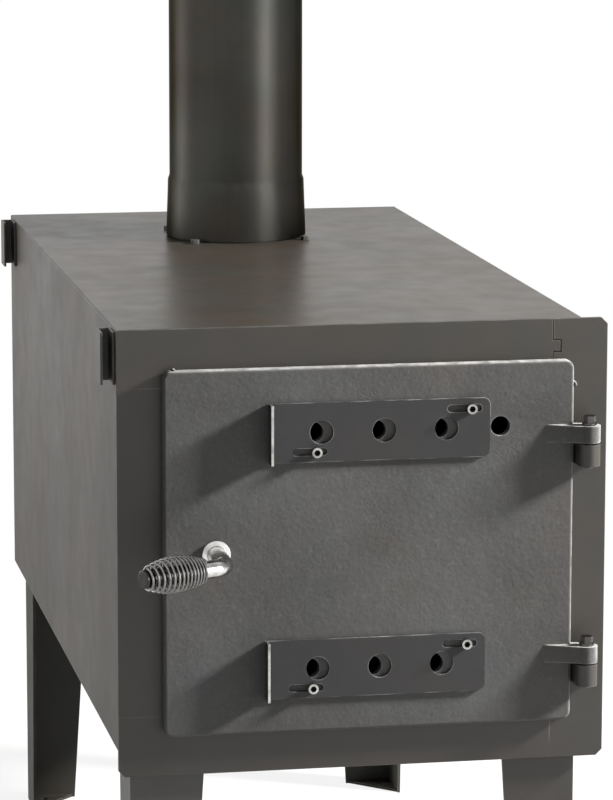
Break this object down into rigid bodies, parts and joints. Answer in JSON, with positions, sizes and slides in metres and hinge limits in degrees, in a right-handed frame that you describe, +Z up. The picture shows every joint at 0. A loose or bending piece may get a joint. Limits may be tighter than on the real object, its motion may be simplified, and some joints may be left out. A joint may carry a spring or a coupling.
{
  "type": "wood-burning stove",
  "caption": "Outdoor sheet-steel wood stove on angled sheet legs, with a cast side-hung door, sliding air vents, a spring-grip latch and a flue pipe.",
  "frame": {"origin": "on the ground, under the middle of the stove's overall box", "axes": "+Z up, the door faces -Y, +X to the right as seen from in front of the door"},
  "size_m": [0.401, 0.8142, 0.968],
  "materials": {
    "painted_steel": "satin",
    "cast_iron": "satin",
    "flue_steel": "satin",
    "zinc_steel": "satin",
    "blackened_steel": "satin",
    "grate_iron": "matte"
  },
  "bodies": {
    "stove": {"back_left_leg": "painted_steel", "back_panel": "painted_steel", "back_right_leg": "painted_steel", "bottom_panel": "painted_steel", "collar_bolts": "blackened_steel", "collar_nuts": "zinc_steel", "fire_grate": "grate_iron", "flue_collar": "flue_steel", "frame_bottom_rail": "painted_steel", "frame_hinge_stile": "painted_steel", "frame_left_stile": "painted_steel", "frame_top_rail": "painted_steel", "front_left_leg": "painted_steel", "front_right_leg": "painted_steel", "front_shelf_bracket": "painted_steel", "left_grate_rail": "grate_iron", "left_side_panel": "painted_steel", "leg_bolts": "zinc_steel", "leg_nuts": "zinc_steel", "lower_hinge_knuckle": "painted_steel", "lower_hinge_pin": "blackened_steel", "rear_shelf_bracket": "painted_steel", "right_grate_rail": "grate_iron", "right_side_panel": "painted_steel", "top_panel": "painted_steel", "upper_hinge_knuckle": "painted_steel", "upper_hinge_pin": "blackened_steel"},
    "door": {"door": "cast_iron", "vent_screws": "blackened_steel", "vent_nuts": "zinc_steel"},
    "latch": {"latch_rod": "blackened_steel", "handle_spring": "zinc_steel", "latch_washer": "zinc_steel", "latch_spacer": "zinc_steel", "latch_tongue": "blackened_steel", "latch_nut": "zinc_steel"},
    "upper_slide": {"upper_vent_slide": "painted_steel"},
    "lower_slide": {"lower_vent_slide": "painted_steel"},
    "flue_pipe": {"flue_pipe": "flue_steel"}
  },
  "joints": [
    {"name": "door_hinge", "type": "hinge", "parent": "stove", "child": "door", "pos_m": [0.18275, -0.3277, 0.39155], "axis": [0, 0, 1], "range_deg": [0, 150]},
    {"name": "latch_turn", "type": "hinge", "parent": "door", "child": "latch", "pos_m": [-0.11285, -0.3219, 0.39155], "axis": [0, -1, 0], "range_deg": [0, 90]},
    {"name": "upper_slide_shift", "type": "slide", "parent": "door", "child": "upper_slide", "axis": [1, 0, 0], "range_m": [-0.006, 0.016]},
    {"name": "lower_slide_shift", "type": "slide", "parent": "door", "child": "lower_slide", "axis": [1, 0, 0], "range_m": [-0.006, 0.016]},
    {"name": "flue_pipe_lift", "type": "slide", "parent": "stove", "child": "flue_pipe", "axis": [0, 0, 1], "range_m": [0, 0.07]}
  ]
}
